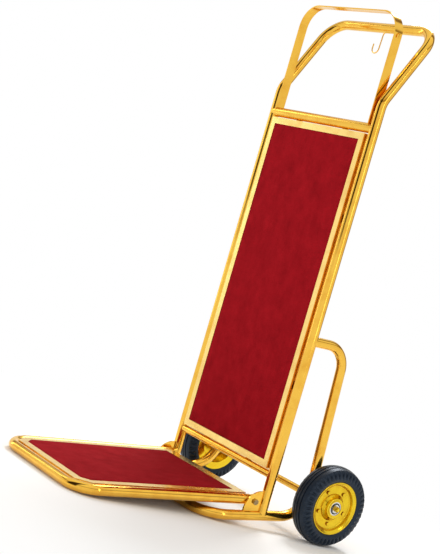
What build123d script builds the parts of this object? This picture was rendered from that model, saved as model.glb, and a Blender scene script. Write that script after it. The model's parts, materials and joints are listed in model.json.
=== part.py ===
"""Two-wheeled hotel luggage cart: a bent-tube frame with a folding carpeted platform.

The frame is drawn in its own axes first: the uprights stand along Z over y = 0, the platform
reaches towards -Y and the side at +X is called right.  stand() then tips every piece forward
by the small angle at which the wheels and the front of the base loop both touch the floor.
All lengths are in millimetres and all angles in degrees.
"""

from build123d import *
import os
from math import acos, asin, atan2, cos, degrees, hypot, radians, sin, sqrt, tan

os.makedirs("parts", exist_ok=True)

# --- Tube and bar stock -----------------------------------------------------------------
TUBE_D = 25.4            # polished main tube
TUBE_WALL = 1.5
BAR_D = 19.0             # light tube: bottom crossbar and axle tube
BAR_WALL = 1.2
WELD_SINK = 0.5          # how far welded round bars bite into each other

# --- Main tube: two uprights, arms that lean back, and the handle bar ---------------------
UPRIGHT_SPACING = 408.0  # between the uprights' centre lines
ARM_HEIGHT = 1043.0      # where the uprights turn back into the arms
HANDLE_BACK = 110.0      # handle bar behind the uprights
HANDLE_RISE = 210.0      # handle bar above the arm bends
ARM_BEND_R = 60.0
HANDLE_BEND_R = 60.0

# --- Crossbars and hoop -------------------------------------------------------------------
TOP_BAR_DROP = 65.0      # top crossbar below the arm bends
BOTTOM_BAR_HEIGHT = 98.0
HOOP_RISE = 289.0        # top of the strap above the top crossbar
HOOP_BEND_R = 58.0
STRAP_WIDTH = 25.0
STRAP_T = 3.0
HOOP_GAP = 2.0           # strap to upright, filled by the weld pads
WELD_PAD_LENGTH = 30.0
WELD_PAD_WIDTH = 10.0

# --- Base loop, which turns up into the two rear braces -----------------------------------
LOOP_FRONT_Y = -170.0
LOOP_FRONT_Z = -16.0     # the loop falls towards its front
LOOP_FOOT_Z = -4.0       # loop height under the uprights
LOOP_CORNER_R = 70.0
BRACE_FOOT_Y = 138.4     # brace line at the height of the uprights' feet
BRACE_LEAN = 3.2         # braces lean towards the uprights
BRACE_TOP_Z = 442.7      # level run into the uprights
BRACE_BEND_R = 60.0
LOOP_REAR_BEND_R = 80.0

# --- Axle and wheels ----------------------------------------------------------------------
AXLE_HEIGHT = 58.0
ROD_PLAY = 0.3           # axle rod in the axle tube
ROD_THREAD_D = 8.0
AXLE_TUBE_STICK_OUT = 1.3  # axle tube past the outer sides of the braces
SPACER_WALL = 3.5
AXLE_WASHER_R = 10.5
AXLE_WASHER_T = 2.0
CAP_NUT_FLATS = 13.0
CAP_NUT_HEX = 6.5
CAP_NUT_DOME = 5.5
CAP_NUT_DOME_R = 5.8
WHEEL_R = 101.5
WHEEL_GAP = 11.3         # tyre to brace
TYRE_HALF_WIDTH = 30.0
TREAD_HALF_WIDTH = 24.0
SHOULDER_DROP = 5.5      # tread edge below the crown
BEAD_WIDTH = 13.0
TYRE_WALL = 6.0
INNER_TUBE_WALL = 1.5
INNER_TUBE_HALF_WIDTH = 16.0
VALVE_R = 4.0
VALVE_HUB_GAP = 7.5      # valve's inner end to the hub
VALVE_X = -7.0
RIM_T = 2.0
RIM_FLANGE_R = 68.0
RIM_BARREL_R = 51.0
RIM_HALF_WIDTH = 26.0
RIM_SPLIT = 12.0         # where the two rim discs meet, outboard of the wheel's middle
RIM_BOLT_COUNT = 5
RIM_BOLT_INSET = 8.0     # bolt circle inside the barrel
RIM_BOLT_D = 5.0
RIM_BOLT_FLATS = 8.0
RIM_BOLT_HEAD_T = 3.5
RIM_NUT_T = 4.0
HUB_WALL = 3.5           # hub outside its bearings
HUB_BORE_PLAY = 5.0      # hub bore round the axle rod
HUB_HALF_LENGTH = 28.0
BEARING_SECTION = 9.5    # bearing, bore to outside
BEARING_WIDTH = 11.0
BEARING_RECESS = 1.0
RACE_T = 3.0             # each bearing ring, measured outwards
BALL_D = 4.8
BALL_COUNT = 8
SEAL_T = 1.0

# --- Back panel ---------------------------------------------------------------------------
PANEL_SIDE_GAP = 3.3     # panel to the uprights
PANEL_TOP_GAP = 2.3      # panel to the top crossbar
PANEL_BOTTOM_GAP = 4.5   # panel to the bottom crossbar
PANEL_PROUD = 0.8        # gilt trim in front of the uprights
TRIM_WIDTH = 16.5
TRIM_T = 2.5
TRIM_SKIRT_T = 2.0
BOARD_T = 12.0
CARPET_SET_BACK = 0.6    # carpet face behind the trim face
LUG_WIDTH = 22.0
LUG_T = 3.0
LUG_LAP = 22.0           # lug over the back of the board
SCREW_D = 4.0
SCREW_HEAD_D = 8.0
SCREW_HEAD_T = 2.4
SCREW_LENGTH = 12.0
LUG_SPREAD = 0.5         # side lugs, as a share of the panel's half height from its middle

# --- Platform -----------------------------------------------------------------------------
FOLDED_GAP = 6.1         # folded side tubes to the uprights
LOWERED_GAP = 7.6        # side tubes to the base loop, at the pivot
TAIL_GAP = 1.8           # ends of the side tubes to the uprights
PLATFORM_REACH = 493.5   # pivot to the front tube's centre line
PLATFORM_CORNER_R = 62.0
TIP_CLEARANCE = 1.0      # front tube above the floor
DECK_TRIM_WIDTH = 20.0
DECK_TRIM_T = 2.5
DECK_TRIM_SKIRT = 10.0   # down beside the board
DECK_REAR = 9.0          # rear trim's back edge in front of the pivot
REAR_TRIM_WIDTH = 26.0
DECK_SINK = 0.2          # trim face below the top of the tube
DECK_CARPET_PROUD = 0.5
DECK_CORNER_CUT = 20.0   # cut off each front corner of the carpet, along both edges
RAIL_WIDTH = 25.0
RAIL_T = 3.0
RAIL_FRONT = 380.0       # second rail in front of the pivot
RAIL_SCREW_X = 120.0
BUFFER_R = 9.0
BUFFER_X = 100.0

# --- Platform hinge -----------------------------------------------------------------------
PLATE_R = 48.0
PLATE_T = 4.0
HINGE_WASHER_T = 1.6
HINGE_WASHER_R = 8.0
HINGE_BOLT_D = 8.0
HINGE_HEAD_FLATS = 13.0
HINGE_HEAD_T = 5.3
HINGE_NUT_T = 6.8
BOLT_STICK_OUT = 1.8

# --- Garment hook -------------------------------------------------------------------------
HOOK_WIRE_D = 3.0
HOOK_DROP = 51.0         # hook pin below the top of the hoop
HOOK_REACH = 52.0        # strap to the hook's shank
HOOK_SHANK = 42.0        # pin down to the middle of the hook's curve
HOOK_R = 12.0
HOOK_TIP = 11.0
HOOK_BEND_R = 8.0
HOOK_TAIL = 10.0         # end turned down outside the strap
HOOK_TAIL_OUT = 7.0
HOOK_TAIL_BEND_R = 4.0

# --- Clearances ---------------------------------------------------------------------------
RUN_CLEARANCE = 0.05     # radial, every pin or wheel that turns
END_PLAY = 0.4           # along an axle
BUFFER_GAP = 0.5         # rest buffers to the lowered platform
SIDE_PLAY = 0.7          # between the platform tubes and what they turn beside
BOARD_PLAY = 0.5         # board inside its trim
LAY_GAP = 0.1            # between sheets that lie on each other

# --- Values that follow -------------------------------------------------------------------
TUBE_R = TUBE_D / 2
BAR_R = BAR_D / 2
WIRE_R = HOOK_WIRE_D / 2
UPRIGHT_X = UPRIGHT_SPACING / 2
HANDLE_Z = ARM_HEIGHT + HANDLE_RISE
TOP_BAR_HEIGHT = ARM_HEIGHT - TOP_BAR_DROP
HOOP_TOP = TOP_BAR_HEIGHT + HOOP_RISE
HOOK_HEIGHT = HOOP_TOP - HOOK_DROP
ROD_D = BAR_D - 2 * (BAR_WALL + ROD_PLAY)
SPACER_R = ROD_D / 2 + SPACER_WALL
BEARING_R = ROD_D / 2 + BEARING_SECTION
HUB_R = BEARING_R + HUB_WALL
HUB_BORE_R = ROD_D / 2 + HUB_BORE_PLAY
VALVE_LENGTH = RIM_BARREL_R + INNER_TUBE_WALL - HUB_R - VALVE_HUB_GAP
WHEEL_X = UPRIGHT_X + TUBE_R + WHEEL_GAP + TYRE_HALF_WIDTH
RIM_BOLT_PCD = 2 * (RIM_BARREL_R - RIM_BOLT_INSET)
PANEL_WIDTH = 2 * (UPRIGHT_X - TUBE_R - PANEL_SIDE_GAP)
PANEL_TOP = TOP_BAR_HEIGHT - TUBE_R - PANEL_TOP_GAP
PANEL_BOTTOM = BOTTOM_BAR_HEIGHT + BAR_R + PANEL_BOTTOM_GAP
PANEL_FACE_Y = -TUBE_R - PANEL_PROUD
PIVOT_Y = -TUBE_D - FOLDED_GAP
PIVOT_Z = LOOP_FOOT_Z + TUBE_D + LOWERED_GAP
PLATFORM_TAIL = TUBE_R + FOLDED_GAP - TAIL_GAP
DECK_TOP = TUBE_R - DECK_SINK
STRAP_X = UPRIGHT_X - TUBE_R - HOOP_GAP - STRAP_T / 2
PLATFORM_X = UPRIGHT_X - PLATE_T / 2 - HINGE_WASHER_T - SIDE_PLAY - TUBE_R
PLATE_INNER_X = UPRIGHT_X - PLATE_T / 2
PLATE_OUTER_X = UPRIGHT_X + PLATE_T / 2
LOOP_SLOPE = (LOOP_FOOT_Z - LOOP_FRONT_Z) / -LOOP_FRONT_Y


def loop_z(y):
    """Height of the base loop's side tubes at y."""
    return LOOP_FOOT_Z + LOOP_SLOPE * y


def brace_y(z):
    """Place of the braces' centre line at height z."""
    return BRACE_FOOT_Y - z * tan(radians(BRACE_LEAN))


# The braces meet the loop's side tubes where both lines cross.
BRACE_CORNER_Z = loop_z(BRACE_FOOT_Y) / (1 + LOOP_SLOPE * tan(radians(BRACE_LEAN)))
AXLE_Y = brace_y(AXLE_HEIGHT) + TUBE_R + BAR_R - WELD_SINK


def parked_lean():
    """Forward tip at which the wheels and the loop's front touch one floor."""
    run = AXLE_Y - LOOP_FRONT_Y
    rise = AXLE_HEIGHT - LOOP_FRONT_Z
    return degrees(asin((WHEEL_R - TUBE_R) / hypot(run, rise)) - atan2(rise, run))


def tipped(y, z):
    """A point of the frame's side view after the forward tip."""
    tip = radians(LEAN)
    return y * cos(tip) - z * sin(tip), y * sin(tip) + z * cos(tip)


LEAN = parked_lean()
WHEEL_BACK_Y = tipped(AXLE_Y, AXLE_HEIGHT)[0] + WHEEL_R
FLOOR_Z = tipped(AXLE_Y, AXLE_HEIGHT)[1] - WHEEL_R
PIVOT_RISE = tipped(PIVOT_Y, PIVOT_Z)[1] - FLOOR_Z
TIP_DROP = PIVOT_RISE - TUBE_R - TIP_CLEARANCE
DECK_DIP = degrees(asin(TIP_DROP / PLATFORM_REACH))
TIP_Y = tipped(PIVOT_Y, PIVOT_Z)[0] - PLATFORM_REACH * cos(radians(DECK_DIP)) - TUBE_R
MIDDLE_Y = (WHEEL_BACK_Y + TIP_Y) / 2


# --- Helpers ------------------------------------------------------------------------------
def stand(piece):
    """Put a piece drawn in the frame's axes onto the floor."""
    return Location((0, -MIDDLE_Y, -FLOOR_Z), (LEAN, 0, 0)) * piece


def on_deck(piece):
    """Put a piece drawn flat, with the pivot at the origin, onto the lowered platform."""
    return Location((0, PIVOT_Y, PIVOT_Z), (DECK_DIP - LEAN, 0, 0)) * piece


def round_bar(path, radius, bore=0.0):
    """A round bar, or a tube where bore is given, along a path."""
    section = Circle(radius)
    if bore:
        section -= Circle(bore)
    start = Plane(origin=path @ 0, z_dir=path % 0)
    return sweep(start * section, path=path)


def rod_x(start, end, radius, y=0.0, z=0.0, bore=0.0):
    """A straight round bar along X."""
    path = Line((start, y, z), (end, y, z))
    return round_bar(path, radius, bore)


def block(low, high):
    """A box between two opposite corners."""
    size = [b - a for a, b in zip(low, high)]
    middle = [(a + b) / 2 for a, b in zip(low, high)]
    return Pos(*middle) * Box(*size)


def turned(outline):
    """Spin a profile in the XY plane, x along the axle and y as radius, into a solid."""
    return revolve(make_face(outline), Axis.X)


def sheet_profile(points, thickness):
    """Closed outline of a bent sheet whose middle line runs through the points."""
    half = thickness / 2
    middle = [Vector(*point) for point in points]
    headings = [(b - a).normalized() for a, b in zip(middle, middle[1:])]
    left, right = [], []
    for index, point in enumerate(middle):
        before = headings[max(index - 1, 0)]
        after = headings[min(index, len(headings) - 1)]
        across = Vector(-before.Y - after.Y, before.X + after.X).normalized()
        reach = half / across.dot(Vector(-after.Y, after.X))
        left.append(point + across * reach)
        right.append(point - across * reach)
    return Polyline(*left, *reversed(right), close=True)


def hexagon(flats, start, end):
    """A hexagonal prism along X."""
    prism = extrude(RegularPolygon(flats / 2, 6, major_radius=False), end - start)
    return Pos(start, 0, 0) * Rot(0, 90, 0) * prism


def largest(piece):
    """The biggest solid that a cut leaves."""
    return piece.solids().sort_by(SortBy.VOLUME)[-1]


def both_sides(piece):
    """A piece at +X together with its mirror image at -X."""
    return [piece, mirror(piece, Plane.YZ)]


def save(name, *pieces):
    """Write one named sub-part."""
    solids = [solid for piece in pieces for solid in piece.solids()]
    export_step(solids[0] if len(solids) == 1 else Compound(children=solids), f"parts/{name}.step")


# --- Main tube ----------------------------------------------------------------------------
def main_path():
    """Right foot, up, back along the arm, across the handle and down the left."""
    right = [
        (UPRIGHT_X, 0, LOOP_FOOT_Z),
        (UPRIGHT_X, 0, ARM_HEIGHT),
        (UPRIGHT_X, HANDLE_BACK, HANDLE_Z),
    ]
    left = [(-x, y, z) for x, y, z in reversed(right)]
    bends = [ARM_BEND_R, HANDLE_BEND_R, HANDLE_BEND_R, ARM_BEND_R]
    return FilletPolyline(*right, *left, radius=bends)


def loop_path():
    """Right upright, back, down the brace, forward, across the front and back again."""
    right = [
        (UPRIGHT_X, 0, BRACE_TOP_Z),
        (UPRIGHT_X, brace_y(BRACE_TOP_Z), BRACE_TOP_Z),
        (UPRIGHT_X, brace_y(BRACE_CORNER_Z), BRACE_CORNER_Z),
        (UPRIGHT_X, LOOP_FRONT_Y, LOOP_FRONT_Z),
    ]
    left = [(-x, y, z) for x, y, z in reversed(right)]
    bends = [BRACE_BEND_R, LOOP_REAR_BEND_R, LOOP_CORNER_R]
    return FilletPolyline(*right, *left, radius=bends + bends[::-1])


def make_frame_tubes():
    """The two long bent tubes, each notched round the one it is welded to."""
    main_line = main_path()
    loop_line = loop_path()
    main_bar = round_bar(main_line, TUBE_R)
    loop_bar = round_bar(loop_line, TUBE_R)
    bore = TUBE_R - TUBE_WALL
    main_tube = largest(round_bar(main_line, TUBE_R, bore) - loop_bar)
    loop_tube = largest(round_bar(loop_line, TUBE_R, bore) - main_bar)
    return main_bar, loop_bar, main_tube, loop_tube


def make_crossbar(height, radius, wall, main_bar):
    """A straight tube between the uprights, notched to fit them."""
    bar = rod_x(-UPRIGHT_X, UPRIGHT_X, radius, z=height, bore=radius - wall)
    return largest(bar - main_bar)


# --- Hoop ---------------------------------------------------------------------------------
def make_hoop(main_bar, top_bar):
    """Flat strap bent into a hoop, with a hole for the hook, and its two spacers."""
    foot = TOP_BAR_HEIGHT
    line = FilletPolyline(
        (STRAP_X, 0, foot), (STRAP_X, 0, HOOP_TOP), (-STRAP_X, 0, HOOP_TOP), (-STRAP_X, 0, foot),
        radius=[HOOP_BEND_R, HOOP_BEND_R],
    )
    section = Plane(origin=line @ 0, x_dir=(1, 0, 0), z_dir=line % 0) * Rectangle(STRAP_T, STRAP_WIDTH)
    strap = sweep(section, path=line) - top_bar
    hole = WIRE_R + RUN_CLEARANCE
    strap -= rod_x(STRAP_X - STRAP_T, STRAP_X + STRAP_T, hole, z=HOOK_HEIGHT)
    strap = largest(strap)
    low = foot + TUBE_R + LAY_GAP
    pad = block(
        (STRAP_X + STRAP_T / 2, -WELD_PAD_WIDTH / 2, low),
        (UPRIGHT_X, WELD_PAD_WIDTH / 2, low + WELD_PAD_LENGTH),
    )
    return strap, both_sides(largest(pad - main_bar))


# --- Back panel ---------------------------------------------------------------------------
def trim_outline(half_width, low, high):
    """Rectangle in the XZ plane."""
    return [(-half_width, low), (half_width, low), (half_width, high), (-half_width, high)]


def upright_slab(points, front, back):
    """Extrude an XZ outline from front to back along Y."""
    outline = Polyline(*[(x, front, z) for x, z in points], close=True)
    return extrude(make_face(outline), amount=back - front, dir=(0, 1, 0))


def make_panel(main_bar, top_bar, bottom_bar):
    """Four mitred trim angles, the board, its carpet, and the lugs and screws behind."""
    half = PANEL_WIDTH / 2
    inner = half - TRIM_WIDTH
    carpet_face = PANEL_FACE_Y + CARPET_SET_BACK
    board_front = PANEL_FACE_Y + TRIM_T + LAY_GAP
    board_back = board_front + BOARD_T
    outer_points = trim_outline(half, PANEL_BOTTOM, PANEL_TOP)
    inner_points = trim_outline(inner, PANEL_BOTTOM + TRIM_WIDTH, PANEL_TOP - TRIM_WIDTH)
    skirt = half - TRIM_SKIRT_T
    skirt_points = trim_outline(skirt, PANEL_BOTTOM + TRIM_SKIRT_T, PANEL_TOP - TRIM_SKIRT_T)
    trim = upright_slab(outer_points, PANEL_FACE_Y, board_back)
    trim -= upright_slab(inner_points, PANEL_FACE_Y, board_back)
    trim -= upright_slab(skirt_points, PANEL_FACE_Y + TRIM_T, board_back)
    sides = {}
    for index, name in enumerate(("bottom", "right", "top", "left")):
        a, b = outer_points[index], outer_points[(index + 1) % 4]
        c, d = inner_points[(index + 1) % 4], inner_points[index]
        sides[name] = trim & upright_slab([a, b, c, d], PANEL_FACE_Y, board_back)
    play = TRIM_SKIRT_T + BOARD_PLAY
    board_points = trim_outline(half - play, PANEL_BOTTOM + play, PANEL_TOP - play)
    board = upright_slab(board_points, board_front, board_back)
    edge = TRIM_WIDTH + BOARD_PLAY
    carpet_points = trim_outline(half - edge, PANEL_BOTTOM + edge, PANEL_TOP - edge)
    carpet = upright_slab(carpet_points, carpet_face, board_front - LAY_GAP)
    lugs, screws = [], []
    front = board_back + LAY_GAP
    back = front + LUG_T
    middle = (PANEL_TOP + PANEL_BOTTOM) / 2
    rise = LUG_SPREAD * (PANEL_TOP - PANEL_BOTTOM) / 2
    for sign in (-1, 1):
        x = sign * half / 2
        side_x = sign * (half - LUG_LAP / 2)
        lap, stop = PANEL_TOP - LUG_LAP, TOP_BAR_HEIGHT
        lugs.append(block((x - LUG_WIDTH / 2, front, lap), (x + LUG_WIDTH / 2, back, stop)) - top_bar)
        lap, stop = PANEL_BOTTOM + LUG_LAP, BOTTOM_BAR_HEIGHT
        lugs.append(block((x - LUG_WIDTH / 2, front, stop), (x + LUG_WIDTH / 2, back, lap)) - bottom_bar)
        screws += [(x, PANEL_TOP - LUG_LAP / 2), (x, PANEL_BOTTOM + LUG_LAP / 2)]
        for row in (middle - rise, middle + rise):
            near, far = sorted((sign * (half - LUG_LAP), sign * UPRIGHT_X))
            tab = block((near, front, row - LUG_WIDTH / 2), (far, back, row + LUG_WIDTH / 2))
            lugs.append(tab - main_bar)
            screws.append((side_x, row))
    placed = [Pos(x, back, z) * Rot(-90, 0, 0) * screw() for x, z in screws]
    holes = [Pos(x, back, z) * Rot(-90, 0, 0) * screw_hole() for x, z in screws]
    lugs = [largest(lug - holes) for lug in lugs]
    return sides, board - holes, carpet, lugs, placed


# --- Platform -----------------------------------------------------------------------------
def deck_slab(low, high, half_width, rear, front, corner, shape=fillet):
    """A slab between two heights whose two front corners are rounded by fillet or cut by chamfer."""
    points = [(-half_width, rear), (half_width, rear), (half_width, front), (-half_width, front)]
    outline = make_face(Polyline(*points, close=True))
    outline = shape(outline.vertices().group_by(Axis.Y)[0], corner)
    return Pos(0, 0, low) * extrude(outline, high - low)


def make_platform():
    """Bent side tube, trims, board, carpet, cross rails and screws, with the pivot at the origin."""
    line = FilletPolyline(
        (PLATFORM_X, PLATFORM_TAIL, 0), (PLATFORM_X, -PLATFORM_REACH, 0),
        (-PLATFORM_X, -PLATFORM_REACH, 0), (-PLATFORM_X, PLATFORM_TAIL, 0),
        radius=[PLATFORM_CORNER_R, PLATFORM_CORNER_R],
    )
    bar = round_bar(line, TUBE_R)
    tube = round_bar(line, TUBE_R, TUBE_R - TUBE_WALL)
    tube -= rod_x(-UPRIGHT_X, UPRIGHT_X, HINGE_BOLT_D / 2 + RUN_CLEARANCE)
    under = DECK_TOP - DECK_TRIM_T
    skirt_low = max(0, under - DECK_TRIM_SKIRT)
    beside = sqrt(TUBE_R ** 2 - skirt_low ** 2) + LAY_GAP    # tube's middle to the skirt it stands against
    edge = PLATFORM_X - beside
    front = beside - PLATFORM_REACH
    width = DECK_TRIM_WIDTH
    cut = DECK_CORNER_CUT + width * (2 - sqrt(2))
    corner = max(PLATFORM_CORNER_R - beside, cut / (2 - sqrt(2)))
    trim = deck_slab(under, DECK_TOP, edge, -DECK_REAR, front, cut, chamfer)
    trim -= deck_slab(under, DECK_TOP, edge - width, 0, front + width, DECK_CORNER_CUT, chamfer)
    inset = TRIM_SKIRT_T
    skirt = deck_slab(under - DECK_TRIM_SKIRT, under, edge, -DECK_REAR, front, corner)
    skirt -= deck_slab(under - DECK_TRIM_SKIRT, under, edge - inset, 0, front + inset, corner - inset)
    trim += skirt
    inner = edge - width - LAY_GAP
    rear_front = -DECK_REAR - REAR_TRIM_WIDTH
    rear_trim = block((-inner, rear_front, under), (inner, -DECK_REAR, DECK_TOP))
    inset = TRIM_SKIRT_T + BOARD_PLAY
    skirt_front = -DECK_REAR - TRIM_SKIRT_T
    rear_trim += block((-inner, skirt_front, under - DECK_TRIM_SKIRT), (inner, -DECK_REAR, DECK_TOP))
    board_top = under - LAY_GAP
    board_low = board_top - BOARD_T
    board = deck_slab(board_low, board_top, edge - inset, -DECK_REAR - inset, front + inset, corner - inset)
    carpet = deck_slab(
        board_top + LAY_GAP, DECK_TOP + DECK_CARPET_PROUD, edge - width - BOARD_PLAY,
        rear_front - BOARD_PLAY, front + width + BOARD_PLAY, DECK_CORNER_CUT, chamfer,
    )
    rail_top = board_low - LAY_GAP
    rails, screws, holes = [], [], []
    for y in (rail_row(), -RAIL_FRONT):
        rail = Pos(0, y, rail_top - RAIL_T / 2) * Box(2 * PLATFORM_X, RAIL_WIDTH, RAIL_T)
        rails.append(largest(rail - bar))
        for x in (-RAIL_SCREW_X, RAIL_SCREW_X):
            place = Pos(x, y, rail_top - RAIL_T) * Rot(180, 0, 0)
            screws.append(place * screw())
            holes.append(place * screw_hole())
    rails = [rail - holes for rail in rails]
    return tube, trim, rear_trim, board - holes, carpet, rails, screws


def rail_row():
    """Place of the rear rail, straight over the front of the base loop."""
    tip = radians(DECK_DIP - LEAN)
    return (LOOP_FRONT_Y - PIVOT_Y) * cos(tip) + (LOOP_FRONT_Z - PIVOT_Z) * sin(tip)


def make_buffers(loop_bar):
    """Two rubber buffers on the front of the base loop, under the platform's rear rail."""
    top = DECK_TOP - DECK_TRIM_T - LAY_GAP - BOARD_T - LAY_GAP - RAIL_T - BUFFER_GAP
    tip = radians(DECK_DIP - LEAN)
    middle = (LOOP_FRONT_Z - PIVOT_Z) * cos(tip) - (LOOP_FRONT_Y - PIVOT_Y) * sin(tip)
    post = Pos(BUFFER_X, rail_row(), middle) * extrude(Circle(BUFFER_R), top - middle)
    return both_sides(largest(on_deck(post) - loop_bar))


# --- Screws -------------------------------------------------------------------------------
def screw():
    """A pan-head screw with its head's seat at the origin and its shank along -Z."""
    head = extrude(Circle(SCREW_HEAD_D / 2), SCREW_HEAD_T)
    head = fillet(head.edges().sort_by(Axis.Z)[-1], SCREW_HEAD_T / 3)
    return head + Pos(0, 0, -SCREW_LENGTH) * extrude(Circle(SCREW_D / 2), SCREW_LENGTH)


def screw_hole():
    """The clearance hole for that screw."""
    depth = SCREW_LENGTH + LAY_GAP
    return Pos(0, 0, -depth) * extrude(Circle(SCREW_D / 2 + LAY_GAP), depth)


# --- Platform hinge -----------------------------------------------------------------------
def make_hinge(main_bar, loop_bar):
    """Right-hand plate, washer, bolt and nut at the platform's pivot."""
    corner_z = loop_z(0) + TUBE_R
    disc = extrude(Circle(PLATE_R), PLATE_T)
    disc = Pos(PLATE_INNER_X, -TUBE_R, corner_z) * Rot(0, 90, 0) * disc
    quarter = block((PLATE_INNER_X, -TUBE_R - PLATE_R, loop_z(0)), (PLATE_OUTER_X, 0, corner_z + PLATE_R))
    bolt_r = HINGE_BOLT_D / 2
    plate = (disc & quarter) - main_bar - loop_bar
    plate -= rod_x(PLATE_INNER_X, PLATE_OUTER_X, bolt_r + LAY_GAP, PIVOT_Y, PIVOT_Z)
    place = Pos(0, PIVOT_Y, PIVOT_Z)
    washer = rod_x(PLATE_INNER_X - HINGE_WASHER_T, PLATE_INNER_X, HINGE_WASHER_R, bore=bolt_r + LAY_GAP)
    nut_outer = PLATFORM_X - TUBE_R - SIDE_PLAY
    nut_inner = nut_outer - HINGE_NUT_T
    bolt = rod_x(nut_inner - BOLT_STICK_OUT, PLATE_OUTER_X, bolt_r)
    bolt += hexagon(HINGE_HEAD_FLATS, PLATE_OUTER_X, PLATE_OUTER_X + HINGE_HEAD_T)
    nut = hexagon(HINGE_HEAD_FLATS, nut_inner, nut_outer) - rod_x(nut_inner, nut_outer, bolt_r + LAY_GAP)
    return largest(plate), place * washer, place * bolt, place * nut


# --- Axle ---------------------------------------------------------------------------------
BEARING_FACE_X = WHEEL_X + HUB_HALF_LENGTH - BEARING_RECESS
BEARING_BACK_X = WHEEL_X - HUB_HALF_LENGTH + BEARING_RECESS
ROD_SHOULDER_X = BEARING_FACE_X + END_PLAY
NUT_X = ROD_SHOULDER_X + AXLE_WASHER_T


def on_axle(piece):
    """Move a piece drawn on the X axis to the axle."""
    return Pos(0, AXLE_Y, AXLE_HEIGHT) * piece


def make_axle(loop_bar):
    """Axle tube across the braces, the rod inside it, spacers, washers and domed nuts."""
    end = UPRIGHT_X + TUBE_R + AXLE_TUBE_STICK_OUT
    tube = largest(on_axle(rod_x(-end, end, BAR_R, bore=BAR_R - BAR_WALL)) - loop_bar)
    rod_r = ROD_D / 2
    thread_r = ROD_THREAD_D / 2
    thread_end = NUT_X + CAP_NUT_HEX
    rod = rod_x(-ROD_SHOULDER_X, ROD_SHOULDER_X, rod_r)
    rod += rod_x(-thread_end, thread_end, thread_r)
    spacer = rod_x(end, BEARING_BACK_X - END_PLAY, SPACER_R, bore=rod_r + LAY_GAP)
    washer = rod_x(ROD_SHOULDER_X, NUT_X, AXLE_WASHER_R, bore=thread_r + LAY_GAP)
    crown = NUT_X + CAP_NUT_HEX
    ball_r = (CAP_NUT_DOME_R ** 2 + CAP_NUT_DOME ** 2) / (2 * CAP_NUT_DOME)
    middle = crown + CAP_NUT_DOME - ball_r
    arc = CenterArc((middle, 0), ball_r, 0, degrees(acos((crown - middle) / ball_r)))
    dome = turned(Curve() + arc + Polyline(arc @ 1, (crown, 0), (crown + CAP_NUT_DOME, 0)))
    nut = hexagon(CAP_NUT_FLATS, NUT_X, crown) + dome
    nut -= rod_x(NUT_X, thread_end + LAY_GAP, thread_r + LAY_GAP)
    return tube, on_axle(rod), on_axle(spacer), on_axle(washer), on_axle(nut)


# --- Wheel, drawn round the X axis with its middle plane at x = 0 --------------------------
def make_tyre():
    """Air tyre, open between its two beads."""
    seat = RIM_BARREL_R + LAY_GAP
    heel = RIM_HALF_WIDTH - RIM_T / 2 - LAY_GAP
    toe = heel - BEAD_WIDTH
    flange = RIM_FLANGE_R + LAY_GAP
    bulge = (flange + WHEEL_R - SHOULDER_DROP) / 2
    shoulder = WHEEL_R - SHOULDER_DROP
    wall = TYRE_WALL
    lines = Curve()
    lines += Polyline((toe, seat), (heel, seat), (heel, flange))
    lines += ThreePointArc((heel, flange), (TYRE_HALF_WIDTH, bulge), (TREAD_HALF_WIDTH, shoulder))
    lines += ThreePointArc((TREAD_HALF_WIDTH, shoulder), (0, WHEEL_R), (-TREAD_HALF_WIDTH, shoulder))
    lines += ThreePointArc((-TREAD_HALF_WIDTH, shoulder), (-TYRE_HALF_WIDTH, bulge), (-heel, flange))
    lines += Polyline((-heel, flange), (-heel, seat), (-toe, seat), (wall - heel, flange))
    inner_shoulder = (TREAD_HALF_WIDTH - wall, shoulder - wall)
    mirrored = (-inner_shoulder[0], inner_shoulder[1])
    lines += ThreePointArc((wall - heel, flange), (wall - TYRE_HALF_WIDTH, bulge), mirrored)
    lines += ThreePointArc(mirrored, (0, WHEEL_R - wall), inner_shoulder)
    lines += ThreePointArc(inner_shoulder, (TYRE_HALF_WIDTH - wall, bulge), (heel - wall, flange))
    lines += Line((heel - wall, flange), (toe, seat))
    return turned(lines)


def make_inner_tube():
    """Inflated inner tube and its valve, which points at the axle."""
    low = RIM_BARREL_R + INNER_TUBE_WALL
    high = WHEEL_R - TYRE_WALL - INNER_TUBE_WALL
    centre = (low + high) / 2
    section = Ellipse(INNER_TUBE_HALF_WIDTH, (high - low) / 2)
    section -= Ellipse(INNER_TUBE_HALF_WIDTH - INNER_TUBE_WALL, (high - low) / 2 - INNER_TUBE_WALL)
    ring = revolve(Pos(0, centre, 0) * section, Axis.X)
    stem = Pos(VALVE_X, 0, low - VALVE_LENGTH) * extrude(Circle(VALVE_R), VALVE_LENGTH + INNER_TUBE_WALL * 3)
    inside = revolve(Pos(0, centre, 0) * Ellipse(INNER_TUBE_HALF_WIDTH, (high - low) / 2), Axis.X)
    return ring, largest(stem - inside)


def make_rim_half(side):
    """One pressed disc of the split rim: side 1 is the outboard one."""
    disc_x = RIM_SPLIT + side * (RIM_T + LAY_GAP) / 2
    barrel = RIM_BARREL_R - RIM_T / 2
    edge_x = side * RIM_HALF_WIDTH
    profile = [(disc_x, HUB_R + LAY_GAP), (disc_x, barrel), (edge_x, barrel), (edge_x, RIM_FLANGE_R)]
    disc = turned(sheet_profile(profile, RIM_T))
    holes = bolt_circle(rod_x(disc_x - RIM_T, disc_x + RIM_T, RIM_BOLT_D / 2 + LAY_GAP))
    disc -= holes
    if side < 0:
        disc -= Pos(VALVE_X, 0, 0) * extrude(Circle(VALVE_R + LAY_GAP), WHEEL_R)
    return disc


def bolt_circle(piece):
    """Copies of a piece, drawn on the X axis, round the rim's bolt circle."""
    step = 360 / RIM_BOLT_COUNT
    copies = []
    for index in range(RIM_BOLT_COUNT):
        copies.append(Rot(step * (index + 0.5), 0, 0) * Pos(0, 0, RIM_BOLT_PCD / 2) * piece)
    return copies


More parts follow.
